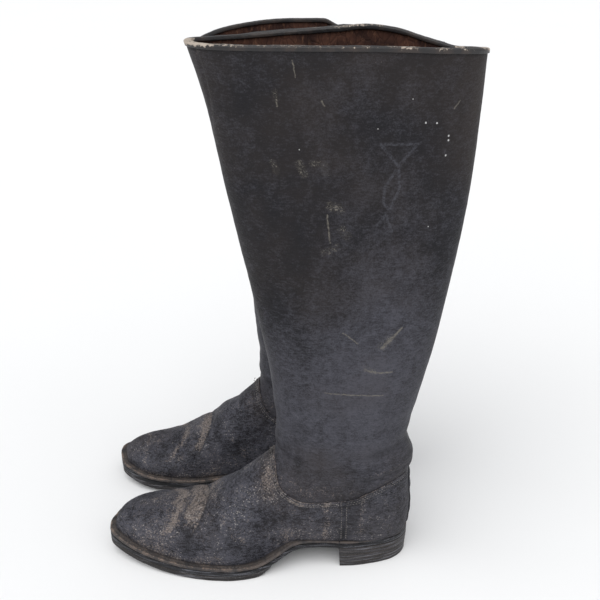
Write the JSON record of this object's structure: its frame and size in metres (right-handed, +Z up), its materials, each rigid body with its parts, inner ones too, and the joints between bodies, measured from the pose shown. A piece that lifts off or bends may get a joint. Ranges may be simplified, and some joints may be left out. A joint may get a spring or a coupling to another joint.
{
  "type": "pair of riding boots",
  "caption": "Pair of tall black leather riding boots with stacked heels, half soles, bound tops and pull straps sewn inside the legs.",
  "frame": {"origin": "centre of the pair's box, on the ground", "axes": "+Z up along the legs; toes point to -X; +Y runs from the left boot to the right boot"},
  "size_m": [0.3472, 0.2362, 0.4972],
  "materials": {
    "leg_leather": "old black calf, dull, fine crackle and pale scuffs",
    "foot_leather": "old black waxed leather, rubbed to tan at the creases, densely specked",
    "binding_leather": "black, worn to cream at the corners",
    "lining_leather": "red-brown, hairy and crackled",
    "stiffener_leather": "pasted leather board",
    "insole_leather": "tanned leather, darkened by wear",
    "welt_leather": "tan-brown with a row of stitches",
    "sole_leather": "black edge dressing, slightly shiny",
    "heel_leather": "stacked leather, black edge dressing, pale lines between lifts",
    "cork": "ground cork",
    "shank_steel": "spring steel",
    "strap_webbing": "woven cotton webbing"
  },
  "bodies": {
    "left_boot": {"left_leg_outer_panel": "leg_leather", "left_leg_inner_panel": "leg_leather", "left_leg_lining": "lining_leather", "left_top_binding": "binding_leather", "left_vamp": "foot_leather", "left_vamp_lining": "lining_leather", "left_toe_puff": "stiffener_leather", "left_counter_cover": "foot_leather", "left_counter_stiffener": "stiffener_leather", "left_counter_lining": "lining_leather", "left_heel_stay": "foot_leather", "left_outsole": "sole_leather", "left_half_sole": "sole_leather", "left_welt": "welt_leather", "left_heel_rand": "welt_leather", "left_insole": "insole_leather", "left_heel_sock": "insole_leather", "left_cork_filler": "cork", "left_shank": "shank_steel", "left_heel_top_piece": "sole_leather", "left_heel_lift_1": "heel_leather", "left_heel_lift_2": "heel_leather", "left_heel_lift_3": "heel_leather", "left_heel_lift_4": "heel_leather", "left_outer_strap_patch": "lining_leather", "left_inner_strap_patch": "lining_leather"},
    "left_outer_pull": {"left_outer_pull_strap": "strap_webbing"},
    "left_inner_pull": {"left_inner_pull_strap": "strap_webbing"},
    "right_boot": {"right_leg_outer_panel": "leg_leather", "right_leg_inner_panel": "leg_leather", "right_leg_lining": "lining_leather", "right_top_binding": "binding_leather", "right_vamp": "foot_leather", "right_vamp_lining": "lining_leather", "right_toe_puff": "stiffener_leather", "right_counter_cover": "foot_leather", "right_counter_stiffener": "stiffener_leather", "right_counter_lining": "lining_leather", "right_heel_stay": "foot_leather", "right_outsole": "sole_leather", "right_half_sole": "sole_leather", "right_welt": "welt_leather", "right_heel_rand": "welt_leather", "right_insole": "insole_leather", "right_heel_sock": "insole_leather", "right_cork_filler": "cork", "right_shank": "shank_steel", "right_heel_top_piece": "sole_leather", "right_heel_lift_1": "heel_leather", "right_heel_lift_2": "heel_leather", "right_heel_lift_3": "heel_leather", "right_heel_lift_4": "heel_leather", "right_outer_strap_patch": "lining_leather", "right_inner_strap_patch": "lining_leather"},
    "right_outer_pull": {"right_outer_pull_strap": "strap_webbing"},
    "right_inner_pull": {"right_inner_pull_strap": "strap_webbing"}
  },
  "joints": [
    {"name": "right_boot_lift", "type": "slide", "parent": "left_boot", "child": "right_boot", "axis": [0, 0, 1], "range_m": [0, 0.6]},
    {"name": "left_outer_pull_swing", "type": "hinge", "parent": "left_boot", "child": "left_outer_pull", "pos_m": [0.10737, -0.09136, 0.426], "axis": [0.9914, 0.1307, 0], "range_deg": [0, 142]},
    {"name": "left_inner_pull_swing", "type": "hinge", "parent": "left_boot", "child": "left_inner_pull", "pos_m": [0.10737, -0.03864, 0.426], "axis": [-0.9914, 0.1307, 0], "range_deg": [0, 142]},
    {"name": "right_outer_pull_swing", "type": "hinge", "parent": "right_boot", "child": "right_outer_pull", "pos_m": [0.09437, 0.09136, 0.426], "axis": [-0.9914, 0.1307, 0], "range_deg": [0, 142]},
    {"name": "right_inner_pull_swing", "type": "hinge", "parent": "right_boot", "child": "right_inner_pull", "pos_m": [0.09437, 0.03864, 0.426], "axis": [0.9914, 0.1307, 0], "range_deg": [0, 142]}
  ]
}
